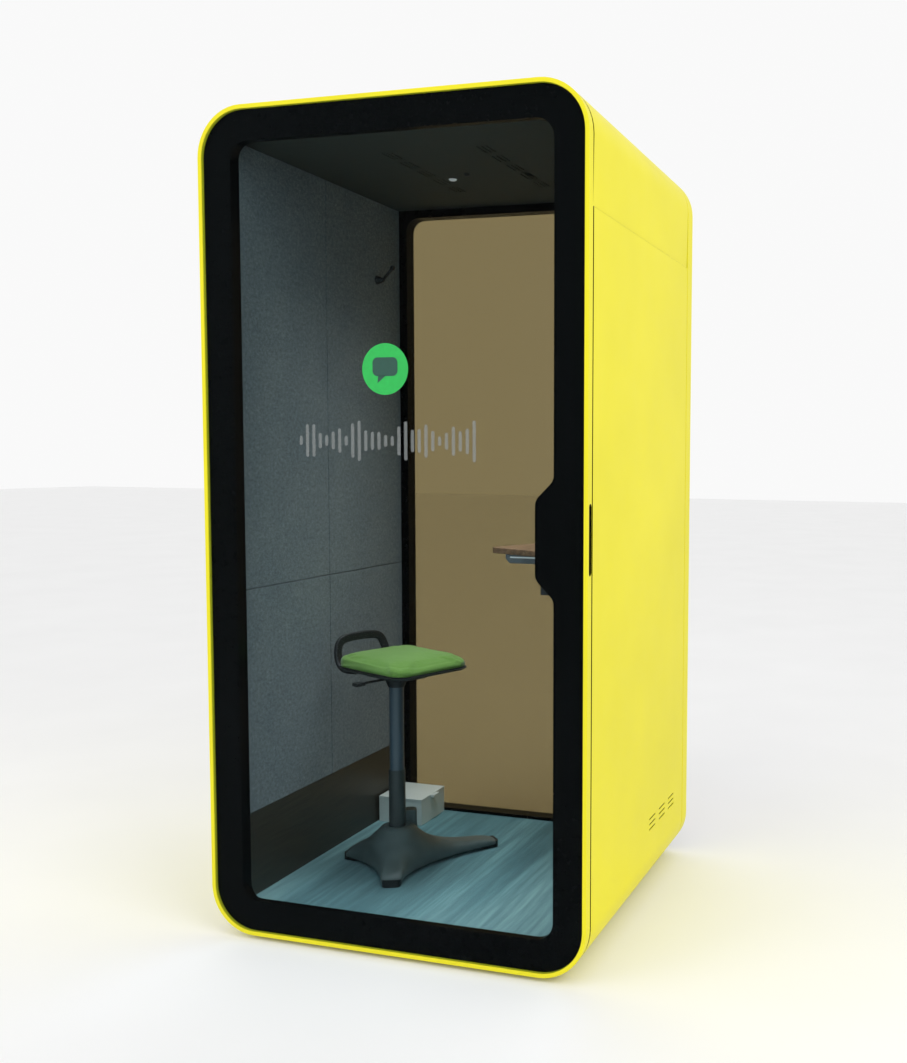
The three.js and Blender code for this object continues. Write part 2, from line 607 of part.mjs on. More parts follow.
// Three blunt arms, one of them long, with hollow curves between them, under a dome that falls away
// from the hub. A shoulder stands up behind the column.
const tripod = {
  arms: [{ turn: 47, reach: 322 }, { turn: 180, reach: 172 }, { turn: 294, reach: 196 }],
  tipHalfWidth: 31, bendRadius: 66, glideRadius: 15, glideInset: 22, well: 25.6,
};
const footUnderside = carpetTop + 12;
const domeProfile = [[0, footUnderside - 1], [335, footUnderside - 1], [330, 112], [200, 121], [150, 130],
  [100, 151], [70, 178], [46, stool.hubTop], [0, stool.hubTop]];
const shoulder = { turn: 28, x0: -12, x1: 58, y0: 10, y1: 66, high: 236 };
const polar = (radius, side, turn) => new THREE.Vector2(radius, side)
  .rotateAround(new THREE.Vector2(), radians(turn));

function footPlan() {
  const { arms, tipHalfWidth, bendRadius } = tripod;
  const shape = new THREE.Shape();
  arms.forEach((arm, number) => {
    const next = arms[(number + 1) % arms.length];
    const gap = (next.turn - arm.turn + 360) % 360;
    const right = polar(arm.reach, -tipHalfWidth, arm.turn);
    const left = polar(arm.reach, tipHalfWidth, arm.turn);
    const bend = polar(bendRadius, 0, arm.turn + gap / 2);
    const onward = polar(next.reach, -tipHalfWidth, next.turn);
    if (number === 0) shape.moveTo(right.x, right.y);
    shape.lineTo(left.x, left.y);
    shape.quadraticCurveTo(bend.x, bend.y, onward.x, onward.y);
  });
  return shape;
}

function stoolFoot() {
  const plan = plate(footPlan(), footUnderside, stool.hubTop + 4, 8);
  const dome = turned(domeProfile, 0, 0, 40);
  const block = box(shoulder.x0, shoulder.x1, shoulder.y0, shoulder.y1, footUnderside + 4, shoulder.high);
  block.rotateZ(radians(shoulder.turn));
  const glides = tripod.arms.map(({ turn, reach }) => {
    const { x, y } = polar(reach - tripod.glideInset, 0, turn);
    return rod(tripod.glideRadius, [x, y, carpetTop], [x, y, footUnderside + 4], 16);
  });
  const well = rod(tripod.well, [0, 0, carpetTop + 18], [0, 0, shoulder.high + 10], 32);
  return cut(join([overlap(plan, dome), block, ...glides]), [well]);
}

add('stool_base', atStool(stoolFoot(), 0), greyPlastic);
const columnProfile = [[0, carpetTop + 19], [25, carpetTop + 19], [25, columnTop], [22.5, columnTop],
  [22.5, carpetTop + 24], [0, carpetTop + 24]];
add('stool_column', atStool(turned(columnProfile, 0, 0, 32), 0), blackPlastic);
const pistonTop = seatLow - touch - mechanismHeight - touch;
add('stool_piston', rod(22, [stool.x, stool.y, 255], [stool.x, stool.y, pistonTop], 32), pistonGrey);

// The seat is drawn about the stool's axis with its back towards -X.
const seat = { back: -126, front: 190, halfSide: 141, radius: 50 };
const seatOutline = (grow) => roundedRectangle(
  seat.back - grow, seat.front + grow, -seat.halfSide - grow, seat.halfSide + grow, seat.radius + grow);
const mechanism = { halfX: 80, halfY: 50 };
add('stool_shell', atStool(plate(seatOutline(2), seatLow, padLow - touch, 4), stool.seatTurn), blackPlastic);
add('stool_pad', atStool(plate(seatOutline(0), padLow, padTop, 5), stool.seatTurn), greenFabric);
// A flared collar hangs under the mechanism, round the top of the piston.
const collar = { high: pistonTop + touch + 1, length: 30, bore: 22.5 };
const collarLow = collar.high - collar.length;
const collarProfile = [[0, collarLow], [25, collarLow], [35, collar.high - 5], [35, collar.high],
  [0, collar.high]];
const collarBore = rod(collar.bore, [0, 0, collarLow - 1], [0, 0, pistonTop + touch], 32);
add('stool_mechanism', atStool(join([
  box(-mechanism.halfX, mechanism.halfX, -mechanism.halfY, mechanism.halfY,
    pistonTop + touch, seatLow - touch),
  cut(turned(collarProfile, 0, 0, 32), [collarBore]),
]), stool.seatTurn), blackPlastic);

const lever = {
  x: 30, y: -mechanism.halfY - 0.7, z: 672, // its pivot at the mechanism's side
  radius: 4, length: 120, gripHalf: 12, gripLength: 30,
};
const leverEnd = lever.y - lever.length;
add('stool_lever', atStool(join([
  rod(lever.radius, [lever.x, leverEnd, lever.z], [lever.x, lever.y, lever.z], 12),
  box(lever.x - lever.gripHalf, lever.x + lever.gripHalf, leverEnd - 4, leverEnd - 4 + lever.gripLength,
    lever.z - 5, lever.z + 5),
]), stool.seatTurn), blackPlastic);

// A flat band from under the seat, out and up behind it, across, and back down on the other side.
const handleBand = { width: 26, thickness: 14 };
function handleLoop() {
  const low = seatLow - touch - handleBand.thickness / 2; // just under the shell
  const reach = [[-70, 90, low], [-132, 92, low - 1], [-161, 91, 706], [-172, 86, 742], [-176, 70, 766],
    [-177, 32, 774]];
  const mirror = reach.slice().reverse().map(([u, v, z]) => [u, -v, z]);
  const points = [...reach, ...mirror].map((point) => new THREE.Vector3(...point));
  const extrudePath = new THREE.CatmullRomCurve3(points);
  const section = roundedRectangle(-handleBand.thickness / 2, handleBand.thickness / 2,
    -handleBand.width / 2, handleBand.width / 2, 4);
  const options = { steps: 34, extrudePath, bevelEnabled: false, curveSegments: 1 };
  return new THREE.ExtrudeGeometry(section, options);
}

add('stool_handle', atStool(handleLoop(), stool.seatTurn), blackPlastic);

// ---------------------------------------------------------------- floor box
const chest = { x0: -480, x1: -318, y0: 264, y1: 430, height: 90, wall: 2.5, lid: 6 };
const tab = { reach: 13, y0: chest.y0 + 64, y1: chest.y0 + 104, below: 3, above: 4 };
const lidLow = carpetTop + chest.height - chest.lid;
const chestHollow = box(chest.x0 + chest.wall, chest.x1 - chest.wall, chest.y0 + chest.wall,
  chest.y1 - chest.wall, carpetTop + chest.wall, lidLow + 1);
add('floor_box', cut(box(chest.x0, chest.x1, chest.y0, chest.y1, carpetTop, lidLow - touch), [chestHollow]),
  whitePaint);
add('floor_box_lid', join([
  box(chest.x0 + 1, chest.x1 + 1, chest.y0 - 1, chest.y1 + 1, lidLow, lidLow + chest.lid),
  box(chest.x1 + 0.5, chest.x1 + tab.reach, tab.y0, tab.y1, lidLow - tab.below, lidLow + tab.above),
]), whitePaint);

export default booth;
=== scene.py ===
"""Looks for the telephone booth: meshes, materials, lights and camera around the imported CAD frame."""

import json
import math

import bmesh
import bpy
from mathutils import Matrix, Vector


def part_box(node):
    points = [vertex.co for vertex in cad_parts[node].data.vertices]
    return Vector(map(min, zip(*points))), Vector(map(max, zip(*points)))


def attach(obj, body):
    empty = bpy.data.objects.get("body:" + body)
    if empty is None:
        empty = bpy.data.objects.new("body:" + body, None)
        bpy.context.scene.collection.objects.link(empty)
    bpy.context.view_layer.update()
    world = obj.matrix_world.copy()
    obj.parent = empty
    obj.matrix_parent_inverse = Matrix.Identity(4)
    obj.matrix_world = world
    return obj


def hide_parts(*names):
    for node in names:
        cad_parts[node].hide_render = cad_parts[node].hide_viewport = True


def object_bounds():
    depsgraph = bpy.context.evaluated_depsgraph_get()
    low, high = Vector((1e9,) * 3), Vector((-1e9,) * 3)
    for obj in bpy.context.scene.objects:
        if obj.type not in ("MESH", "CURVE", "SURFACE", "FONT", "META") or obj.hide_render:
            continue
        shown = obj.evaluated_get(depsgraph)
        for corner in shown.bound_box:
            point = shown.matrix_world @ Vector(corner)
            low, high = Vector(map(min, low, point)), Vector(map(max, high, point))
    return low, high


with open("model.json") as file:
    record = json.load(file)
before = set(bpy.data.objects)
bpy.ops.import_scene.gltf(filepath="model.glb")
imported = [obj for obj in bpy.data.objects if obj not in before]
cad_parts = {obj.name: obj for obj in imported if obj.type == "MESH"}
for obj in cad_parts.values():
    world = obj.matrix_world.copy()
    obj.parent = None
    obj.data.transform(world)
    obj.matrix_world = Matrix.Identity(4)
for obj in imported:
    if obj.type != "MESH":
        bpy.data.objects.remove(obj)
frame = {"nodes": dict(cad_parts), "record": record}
cad_low, cad_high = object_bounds()

MM = 0.001
collection = bpy.context.scene.collection

# ---------------------------------------------------------------- places read from the frame
GLASS_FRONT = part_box("door_glass")[0].y
CEILING_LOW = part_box("ceiling_panel")[0].z
PAD_LOW, PAD_TOP = (corner.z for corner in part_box("stool_pad"))
SHELL_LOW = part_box("stool_shell")[0].z
BASE_LOW, BASE_TOP = (corner.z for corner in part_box("stool_base"))

BODY_OF = {node: body for body, nodes in frame["record"]["behaviour"]["bodies"].items() for node in nodes}
JOINTS = {joint["name"]: joint for joint in frame["record"]["behaviour"]["joints"]}
SLOT_OF = {row["node"]: row["material_slot"] for row in frame["record"]["subparts"]}
STOOL_X, STOOL_Y = JOINTS["stool_swivel"]["pos_m"][:2]


# ---------------------------------------------------------------- driving dimensions, in metres
FELT_SEAM_Z = 0.965
FELT_GROOVE = 0.8 * MM
FELT_EDGE = 2.0 * MM

# The seat is drawn about the stool's axis: from its back to its front, and half its width to each side.
SEAT_TURN = math.radians(-22)
SEAT_BACK, SEAT_FRONT, SEAT_SIDE, SEAT_RADIUS = -0.126, 0.190, 0.141, 0.050
BACK_EDGE, FRONT_EDGE, EDGE_CROWN = 0.029, 0.018, 0.006
PAD_SWELL_CAP = 4 * MM
PAD_GRID = 5 * MM
CLOTH_FRAMES = 20
STITCH_DEPTH, STITCH_PLACE, STITCH_WIDTH = 1.4 * MM, 0.9, 0.018

HANDLE_WIDTH, HANDLE_THICKNESS, HANDLE_ROUND = 26 * MM, 13 * MM, 5 * MM
HANDLE_BACK = -0.174

# Each arm of the foot: its direction in degrees and its reach. SPINE is (distance out, height) along an arm.
FOOT_ARMS = ((47, 0.322), (180, 0.172), (294, 0.196))
TIP_HALF_WIDTH, TIP_ROUND = 0.031, 0.014
FOOT_BEND = 0.066
FOOT_BORE, FOOT_HUB = 0.0262, 0.043
SPINE = ((0.040, 0.202), (0.046, 0.201), (0.070, 0.177), (0.100, 0.150), (0.150, 0.129), (0.200, 0.120),
         (0.335, 0.111))
SHOULDER_TURN = math.radians(28)
SHOULDER_X, SHOULDER_Y, SHOULDER_ROUND = (-0.012, 0.058), (0.026, 0.066), 0.009
GLIDE_LENGTH, GLIDE_NOSE, GLIDE_HALF_WIDTH, GLIDE_ROUND = 0.054, 0.003, 0.027, 0.010

BADGE_Z, BADGE_RADIUS = 1.566, 0.066
BUBBLE_HALF_WIDTH, BUBBLE_BELOW, BUBBLE_ABOVE, BUBBLE_ROUND = 0.036, 0.018, 0.030, 0.014
BAR_COUNT, BAR_HALF_SPAN, BAR_HALF_WIDTH, BARS_Z = 27, 0.25, 0.0045, 1.382
BAR_SHORTEST, BAR_GROWTH = 0.012, 0.042


# ---------------------------------------------------------------- lamps: place, target, size in metres, watts
KEY_LAMP = ((3.6, -2.4, 3.6), (0.2, 0.0, 1.2), 2.5, 60)
FILL_LAMP = ((-3.0, -3.6, 2.6), (0.0, 0.0, 1.1), 3.0, 40)
CABIN_LAMP = ((-0.02, -0.02, CEILING_LOW - 0.03), (-0.02, 0.0, 0.0), 0.6, 4)
CABIN_SPREAD = math.radians(65)
WORLD_STRENGTH = 0.95


# ---------------------------------------------------------------- the photograph's viewpoint
CAMERA_SIDE = 1.46
CAMERA_DISTANCE = 2.51
CAMERA_HEIGHT = 1.352
CAMERA_TURN = (15.69, -4.02, -0.54)
CAMERA_LENS = 36.78
CAMERA_SHIFT = -0.20


# ---------------------------------------------------------------- node tools
class Shader:
    """A small wrapper that makes node trees short to write."""

    def __init__(self, name):
        self.material = bpy.data.materials.new(name)
        self.material.use_nodes = True
        self.tree = self.material.node_tree
        self.tree.nodes.clear()
        self.output = self.tree.nodes.new("ShaderNodeOutputMaterial")

    def node(self, kind, inputs=None, **settings):
        made = self.tree.nodes.new(kind)
        for key, value in settings.items():
            setattr(made, key, value)
        for key, value in (inputs or {}).items():
            if isinstance(value, bpy.types.NodeSocket):
                self.tree.links.new(value, made.inputs[key])
            else:
                made.inputs[key].default_value = value
        return made

    def coordinates(self, scale=(1, 1, 1), rotation=(0, 0, 0)):
        source = self.node("ShaderNodeTexCoord")
        inputs = {"Vector": source.outputs["Object"], "Scale": scale, "Rotation": rotation}
        return self.node("ShaderNodeMapping", inputs).outputs["Vector"]

    def noise(self, scale, detail=3.0, vector=None, roughness=0.55):
        inputs = {"Scale": scale, "Detail": detail, "Roughness": roughness,
                  "Vector": vector or self.coordinates()}
        return self.node("ShaderNodeTexNoise", inputs).outputs["Fac"]

    def ramp(self, value, stops):
        made = self.node("ShaderNodeValToRGB", {"Fac": value})
        elements = made.color_ramp.elements
        while len(elements) < len(stops):
            elements.new(0.5)
        for element, (place, colour) in zip(elements, stops):
            element.position = place
            element.color = colour if len(colour) == 4 else (*colour, 1)
        return made.outputs["Color"]

    def multiply(self, first, second):
        inputs = {"Factor": 1.0, 6: first, 7: second}
        return self.node("ShaderNodeMix", inputs, data_type="RGBA", blend_type="MULTIPLY").outputs[2]

    def spread(self, value, low, high):
        inputs = {"Value": value, "To Min": low, "To Max": high}
        return self.node("ShaderNodeMapRange", inputs).outputs["Result"]

    def bump(self, height, strength, distance, normal=None):
        inputs = {"Height": height, "Strength": strength, "Distance": distance}
        if normal is not None:
            inputs["Normal"] = normal
        return self.node("ShaderNodeBump", inputs).outputs["Normal"]

    def principled(self, **inputs):
        named = {key.replace("_", " "): value for key, value in inputs.items()}
        made = self.node("ShaderNodeBsdfPrincipled", named)
        self.tree.links.new(made.outputs["BSDF"], self.output.inputs["Surface"])
        return made


def shade(colour, factor):
    """The colour made darker or lighter by a factor."""
    return tuple(min(1.0, channel * factor) for channel in colour)


# ---------------------------------------------------------------- materials
def powder_coat(name, colour, roughness=0.34, shine=0.3):
    """Sprayed paint: faint colour drift, orange peel and slightly uneven gloss."""
    s = Shader(name)
    drift = s.noise(2.2, 2.0)
    base = s.ramp(drift, [(0.3, shade(colour, 0.955)), (0.7, shade(colour, 1.03))])
    peel = s.noise(620.0, 2.0)
    wear = s.noise(14.0, 5.0)
    s.principled(Base_Color=base, Roughness=s.spread(wear, roughness - 0.05, roughness + 0.06),
                 Normal=s.bump(peel, 0.12, 0.0004), Specular_IOR_Level=shine)
    return s.material


def moulded_plastic(name, colour, roughness=0.5, grain=900.0, depth=0.25):
    """Moulded plastic: fine spark texture and faint handling marks."""
    s = Shader(name)
    marks = s.noise(26.0, 6.0)
    base = s.ramp(marks, [(0.3, shade(colour, 0.85)), (0.72, shade(colour, 1.18))])
    texture = s.noise(grain, 2.0)
    s.principled(Base_Color=base, Roughness=s.spread(marks, roughness - 0.07, roughness + 0.08),
                 Normal=s.bump(texture, depth, 0.0003), Specular_IOR_Level=0.45)
    return s.material


def gloss_black(name):
    """Black enamel behind the glass edge: deep, smooth, with faint dust."""
    s = Shader(name)
    dust = s.noise(55.0, 7.0)
    base = s.ramp(dust, [(0.4, (0.0012, 0.0013, 0.0014)), (0.8, (0.0019, 0.002, 0.0021))])
    s.principled(Base_Color=base, Roughness=s.spread(dust, 0.22, 0.27), Specular_IOR_Level=0.045)
    return s.material


def brushed_metal(name, colour, roughness=0.3, stretch=(1, 1, 60)):
    """Brushed metal: fine parallel scratches."""
    s = Shader(name)
    lines = s.noise(260.0, 4.0, s.coordinates(stretch))
    base = s.ramp(lines, [(0.3, shade(colour, 0.82)), (0.7, shade(colour, 1.1))])
    s.principled(Base_Color=base, Metallic=1.0, Roughness=s.spread(lines, roughness - 0.06, roughness + 0.1),
                 Normal=s.bump(lines, 0.12, 0.0002))
    return s.material


def pane_glass(name, tint):
    """A flat pane: what is behind it shows through a slight tint, and it mirrors more at a glance."""
    s = Shader(name)
    smear = s.noise(3.5, 4.0)
    clear = s.node("ShaderNodeBsdfTransparent", {"Color": (*tint, 1)})
    gloss = {"Color": (0.2, 0.22, 0.23, 1), "Roughness": s.spread(smear, 0.0, 0.05)}
    mirror = s.node("ShaderNodeBsdfGlossy", gloss)
    edge = s.node("ShaderNodeFresnel", {"IOR": 1.2}).outputs["Fac"]
    leaving = s.node("ShaderNodeNewGeometry").outputs["Backfacing"]
    entering = s.node("ShaderNodeMath", {0: 1.0, 1: leaving}, operation="SUBTRACT").outputs[0]
    share = s.node("ShaderNodeMath", {0: edge, 1: entering}, operation="MULTIPLY").outputs[0]
    mixed = s.node("ShaderNodeMixShader", {0: share, 1: clear.outputs["BSDF"], 2: mirror.outputs["BSDF"]})
    s.tree.links.new(mixed.outputs["Shader"], s.output.inputs["Surface"])
    return s.material


def pressed_felt(name, colour):
    """Pressed fibre felt: short fibres in every direction, light flecks and a soft sheen."""
    s = Shader(name)
    fibre = s.noise(340.0, 6.0, s.coordinates((1, 1, 0.45)), 0.75)
    cross = s.noise(300.0, 6.0, s.coordinates((1, 0.4, 1)), 0.75)
    cloud = s.noise(7.0, 4.0)
    fibres = s.node("ShaderNodeMath", {0: fibre, 1: cross}, operation="ADD").outputs[0]
    half = s.node("ShaderNodeMath", {0: fibres, 1: 0.5}, operation="MULTIPLY").outputs[0]
    flecks = s.ramp(half, [(0.36, shade(colour, 0.55)), (0.52, colour), (0.66, shade(colour, 1.75))])
    clouds = s.ramp(cloud, [(0.3, (0.86, 0.88, 0.9)), (0.7, (1.06, 1.04, 1.02))])
    tufts = s.ramp(s.noise(95.0, 4.0, None, 0.7), [(0.34, (0.74, 0.75, 0.76)), (0.66, (1.25, 1.24, 1.22))])
    mottled = s.multiply(flecks, tufts)
    s.principled(Base_Color=s.multiply(mottled, clouds), Roughness=0.95, Normal=s.bump(half, 0.55, 0.0012),
                 Sheen_Weight=0.35, Sheen_Roughness=0.5, Specular_IOR_Level=0.2)
    return s.material


def streaked_carpet(name):
    """Low loop carpet in teal: broad planks, paler streaks along them, and visible loops."""
    s = Shader(name)
    plank = s.noise(4.6, 1.0, s.coordinates((1.0, 0.16, 1.0), (0, 0, 0.06)), 0.4)
    streak = s.noise(9.0, 5.0, s.coordinates((5.0, 0.3, 1.0)), 0.62)
    planks = s.ramp(plank, [(0.4, (0.1, 0.24, 0.27)), (0.5, (0.16, 0.34, 0.37)), (0.6, (0.24, 0.44, 0.46))])
    streaks = s.ramp(streak, [(0.36, (0.72, 0.76, 0.78)), (0.52, (1.0, 1.0, 1.0)), (0.68, (1.45, 1.34, 1.3))])
    cells = {"Scale": 330.0, "Vector": s.coordinates((1, 1.6, 1))}
    loops = s.node("ShaderNodeTexVoronoi", cells).outputs["Distance"]
    s.principled(Base_Color=s.multiply(planks, streaks), Roughness=0.95, Normal=s.bump(loops, 0.8, 0.002),
                 Sheen_Weight=0.25, Specular_IOR_Level=0.15)
    return s.material


def wood_laminate(name):
    """Brown wood laminate: long grain with darker pores."""
    s = Shader(name)
    stretched = s.coordinates((26.0, 1.6, 26.0), (0, 0, 0.12))
    grain = s.noise(2.4, 8.0, stretched, 0.62)
    pores = s.noise(90.0, 4.0, s.coordinates((6.0, 0.5, 6.0)))
    browns = [(0.28, (0.085, 0.045, 0.024)), (0.5, (0.19, 0.105, 0.058)), (0.72, (0.3, 0.18, 0.105))]
    colour = s.ramp(grain, browns)
    s.principled(Base_Color=colour, Roughness=s.spread(grain, 0.36, 0.52), Normal=s.bump(pores, 0.2, 0.0004),
                 Coat_Weight=0.1)
    return s.material


def dark_laminate(name, colour):
    """Dark kickboard laminate with a faint grain."""
    s = Shader(name)
    grain = s.noise(16.0, 6.0, s.coordinates((1.0, 0.6, 9.0)))
    base = s.ramp(grain, [(0.3, shade(colour, 0.6)), (0.7, shade(colour, 1.6))])
    s.principled(Base_Color=base, Roughness=s.spread(grain, 0.34, 0.5), Normal=s.bump(grain, 0.12, 0.0008))
    return s.material


def woven_fabric(name, colour):
    """Upholstery: a fine plain weave of two thread directions with colour drift and sheen."""
    s = Shader(name)
    warp = s.node("ShaderNodeTexWave", {"Scale": 95.0, "Distortion": 1.2, "Detail": 2.0,
                                        "Vector": s.coordinates()}, bands_direction="X").outputs["Fac"]
    weft = s.node("ShaderNodeTexWave", {"Scale": 95.0, "Distortion": 1.2, "Detail": 2.0,
                                        "Vector": s.coordinates()}, bands_direction="Y").outputs["Fac"]
    weave = s.node("ShaderNodeMath", {0: warp, 1: weft}, operation="MAXIMUM").outputs[0]
    drift = s.noise(12.0, 4.0)
    threads = s.ramp(weave, [(0.15, shade(colour, 0.55)), (0.85, shade(colour, 1.12))])
    drifts = s.ramp(drift, [(0.3, (0.86, 0.9, 0.82)), (0.7, (1.06, 1.04, 1.08))])
    s.principled(Base_Color=s.multiply(threads, drifts), Roughness=0.86, Normal=s.bump(weave, 0.5, 0.0008),
                 Sheen_Weight=0.3, Sheen_Roughness=0.4, Specular_IOR_Level=0.25)
    return s.material


def soft_rubber(name):
    """Matt black rubber with a dusty bloom."""
    s = Shader(name)
    bloom = s.noise(40.0, 5.0)
    base = s.ramp(bloom, [(0.3, (0.006, 0.006, 0.006)), (0.75, (0.016, 0.016, 0.017))])
    s.principled(Base_Color=base, Roughness=s.spread(bloom, 0.62, 0.85), Normal=s.bump(bloom, 0.15, 0.0005))
    return s.material


def lamp_diffuser(name, strength):
    """White diffuser with a faint glow."""
    s = Shader(name)
    base = s.ramp(s.noise(180.0, 2.0), [(0.3, (0.8, 0.81, 0.8)), (0.7, (0.9, 0.91, 0.9))])
    s.principled(Base_Color=base, Roughness=0.35, Emission_Color=(0.95, 0.98, 1.0, 1),
                 Emission_Strength=strength)
    return s.material


def printed_film(name, colour, roughness=0.42):
    """Vinyl film on the glass."""
    s = Shader(name)
    fleck = s.noise(60.0, 3.0)
    base = s.ramp(fleck, [(0.3, shade(colour, 0.93)), (0.7, shade(colour, 1.06))])
    s.principled(Base_Color=base, Roughness=s.spread(fleck, roughness - 0.05, roughness + 0.05))
    return s.material


def frosted_film(name):
    """Etched-look film: pale, and partly see-through."""
    s = Shader(name)
    grit = s.noise(500.0, 2.0)
    base = s.ramp(grit, [(0.3, (0.2, 0.22, 0.22)), (0.7, (0.3, 0.32, 0.32))])
    s.principled(Base_Color=base, Roughness=0.75, Alpha=0.4)
    return s.material


YELLOW = powder_coat("yellow_paint", (0.785, 0.71, 0.028), 0.36, 0.07)
BLACK_FRAME = gloss_black("black_frame")
DOOR_GLASS = pane_glass("door_glass", (0.82, 0.87, 0.885))
REAR_GLASS = pane_glass("rear_glass", (0.575, 0.485, 0.33))
FELT = pressed_felt("wall_felt", (0.138, 0.165, 0.176))
KICKBOARD = dark_laminate("dark_board", (0.034, 0.029, 0.02))
CARPET = streaked_carpet("teal_carpet")
CEILING = moulded_plastic("ceiling_paint", (0.03, 0.037, 0.032), 0.75, 500.0, 0.35)
CORE = moulded_plastic("core_board", (0.09, 0.09, 0.085), 0.85, 200.0, 0.5)
BLACK_PLASTIC = moulded_plastic("black_plastic", (0.014, 0.015, 0.016))
CHARCOAL = moulded_plastic("charcoal_plastic", (0.09, 0.12, 0.12), 0.42)
COLUMN_GREY = moulded_plastic("column_plastic", (0.04, 0.05, 0.05), 0.42)
GREY_PLASTIC = moulded_plastic("grey_plastic", (0.13, 0.145, 0.155), 0.42)
PALE_PLASTIC = moulded_plastic("pale_plastic", (0.6, 0.6, 0.56), 0.4)
STEEL = brushed_metal("steel", (0.5, 0.51, 0.52))
DARK_STEEL = powder_coat("dark_steel", (0.014, 0.014, 0.015), 0.45)
PISTON = powder_coat("piston_metal", (0.055, 0.085, 0.11), 0.3, 0.6)
WHITE = powder_coat("white_paint", (0.74, 0.78, 0.74), 0.42, 0.4)
WOOD = wood_laminate("desk_wood")
GREEN = woven_fabric("green_fabric", (0.155, 0.295, 0.057))
RUBBER = soft_rubber("seal_rubber")
LAMP = lamp_diffuser("lamp_white", 0.12)
BADGE_GREEN = printed_film("badge_green", (0.012, 0.43, 0.07))
BADGE_DARK = printed_film("badge_dark", (0.012, 0.07, 0.05))
FROST = frosted_film("frosted_film")


# ---------------------------------------------------------------- mesh tools
def piece(name, mesh, material, body, slot, *nodes):
    """A finished piece that rides on a body and may stand for CAD nodes; the slot it is given is not used."""
    made = bpy.data.objects.new(name, mesh)
    collection.objects.link(made)
    mesh.materials.clear()
    mesh.materials.append(material)
    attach(made, body)
    if nodes:
        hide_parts(*nodes)
    even = made.modifiers.new("even_shading", "WEIGHTED_NORMAL")
    even.keep_sharp = True
    return made


def smooth_by_angle(mesh, degrees=35):
    """Smooth shading with edges sharper than the angle kept crisp."""
    shaping = bmesh.new()
    shaping.from_mesh(mesh)
    limit = math.radians(degrees)
    for face in shaping.faces:
        face.smooth = True
    for edge in shaping.edges:
        edge.smooth = len(edge.link_faces) == 2 and edge.calc_face_angle(0.0) < limit
    shaping.to_mesh(mesh)
    shaping.free()


def cleaned_copy(node):
    """The CAD node's mesh with shared corners joined and flat areas as single faces."""
    shaping = bmesh.new()
    shaping.from_mesh(frame["nodes"][node].data)
    bmesh.ops.remove_doubles(shaping, verts=shaping.verts, dist=2e-6)
    bmesh.ops.dissolve_limit(shaping, angle_limit=math.radians(0.6), verts=shaping.verts, edges=shaping.edges)
    mesh = bpy.data.meshes.new(node)
    shaping.to_mesh(mesh)
    shaping.free()
    return mesh


def bevel_sharp_edges(mesh, width, segments=2, angle=32):
    """Round every edge sharper than the angle."""
    shaping = bmesh.new()
    shaping.from_mesh(mesh)
    limit = math.radians(angle)
    sharp = [e for e in shaping.edges if len(e.link_faces) == 2 and e.calc_face_angle(0.0) > limit]
    bmesh.ops.bevel(shaping, geom=sharp, offset=width, segments=segments, profile=0.5, affect="EDGES",
                    clamp_overlap=True)
    shaping.to_mesh(mesh)
    shaping.free()


def finish_node(node, material, body, slot, width=0.8 * MM, segments=2, angle=40):
    """A finished copy of a CAD node: the same shape with softly rounded edges."""
    mesh = cleaned_copy(node)
    bevel_sharp_edges(mesh, width, segments)
    smooth_by_angle(mesh, angle)
    return piece(node + "_finish", mesh, material, body, slot, node)


def skin_over(name, rings, smooth=True):
    """A closed surface through rings of points, from the first ring to the last, with both ends filled."""
    shaping = bmesh.new()
    rows = [[shaping.verts.new(point) for point in ring] for ring in rings]
    count = len(rows[0])
    for low, high in zip(rows, rows[1:]):
        for at in range(count):
            after = (at + 1) % count
            shaping.faces.new((low[at], low[after], high[after], high[at]))
    shaping.faces.new(list(reversed(rows[0])))
    shaping.faces.new(rows[-1])
    bmesh.ops.recalc_face_normals(shaping, faces=shaping.faces)
    mesh = bpy.data.meshes.new(name)
    shaping.to_mesh(mesh)
    shaping.free()
    if smooth:
        smooth_by_angle(mesh, 50)
    return mesh


def joined(name, meshes):
    """Several meshes as one."""
    shaping = bmesh.new()
    for mesh in meshes:
        shaping.from_mesh(mesh)
    mesh = bpy.data.meshes.new(name)
    shaping.to_mesh(mesh)
    shaping.free()
    return mesh


def block(name, low, high, bevel=0.0, segments=3):
    """A box between two corners with rounded edges."""
    low, high = Vector(low), Vector(high)
    shaping = bmesh.new()
    bmesh.ops.create_cube(shaping, size=1.0)
    bmesh.ops.scale(shaping, vec=high - low, verts=shaping.verts)
    bmesh.ops.translate(shaping, vec=(low + high) / 2, verts=shaping.verts)
    mesh = bpy.data.meshes.new(name)
    shaping.to_mesh(mesh)
    shaping.free()
    if bevel:
        bevel_sharp_edges(mesh, bevel, segments)
    smooth_by_angle(mesh, 50)
    return mesh


def rounded_loop(x0, x1, y0, y1, radius, per_corner=10):
    """Points round a rectangle with rounded corners, anticlockwise from the middle of its right side."""
    corners = ((x1, y1, 0), (x0, y1, 1), (x0, y0, 2), (x1, y0, 3))
    points = []
    for x, y, quarter in corners:
        centre_x = x - radius if x == x1 else x + radius
        centre_y = y - radius if y == y1 else y + radius
        for step in range(per_corner + 1):
            angle = math.pi / 2 * (quarter + step / per_corner)
            points.append((centre_x + radius * math.cos(angle), centre_y + radius * math.sin(angle)))
    return points


def spline_points(points, per_span):
    """A smooth line through the points (Catmull-Rom)."""
    ends = [2 * points[0] - points[1], *points, 2 * points[-1] - points[-2]]
    line = []
    for before, start, end, after in zip(ends, ends[1:], ends[2:], ends[3:]):
        for step in range(per_span):
            t = step / per_span
            slope = end - before
            bend = 2 * before - 5 * start + 4 * end - after
            twist = 3 * start - before - 3 * end + after
            line.append(0.5 * (2 * start + slope * t + bend * t * t + twist * t ** 3))
    return [*line, points[-1].copy()]


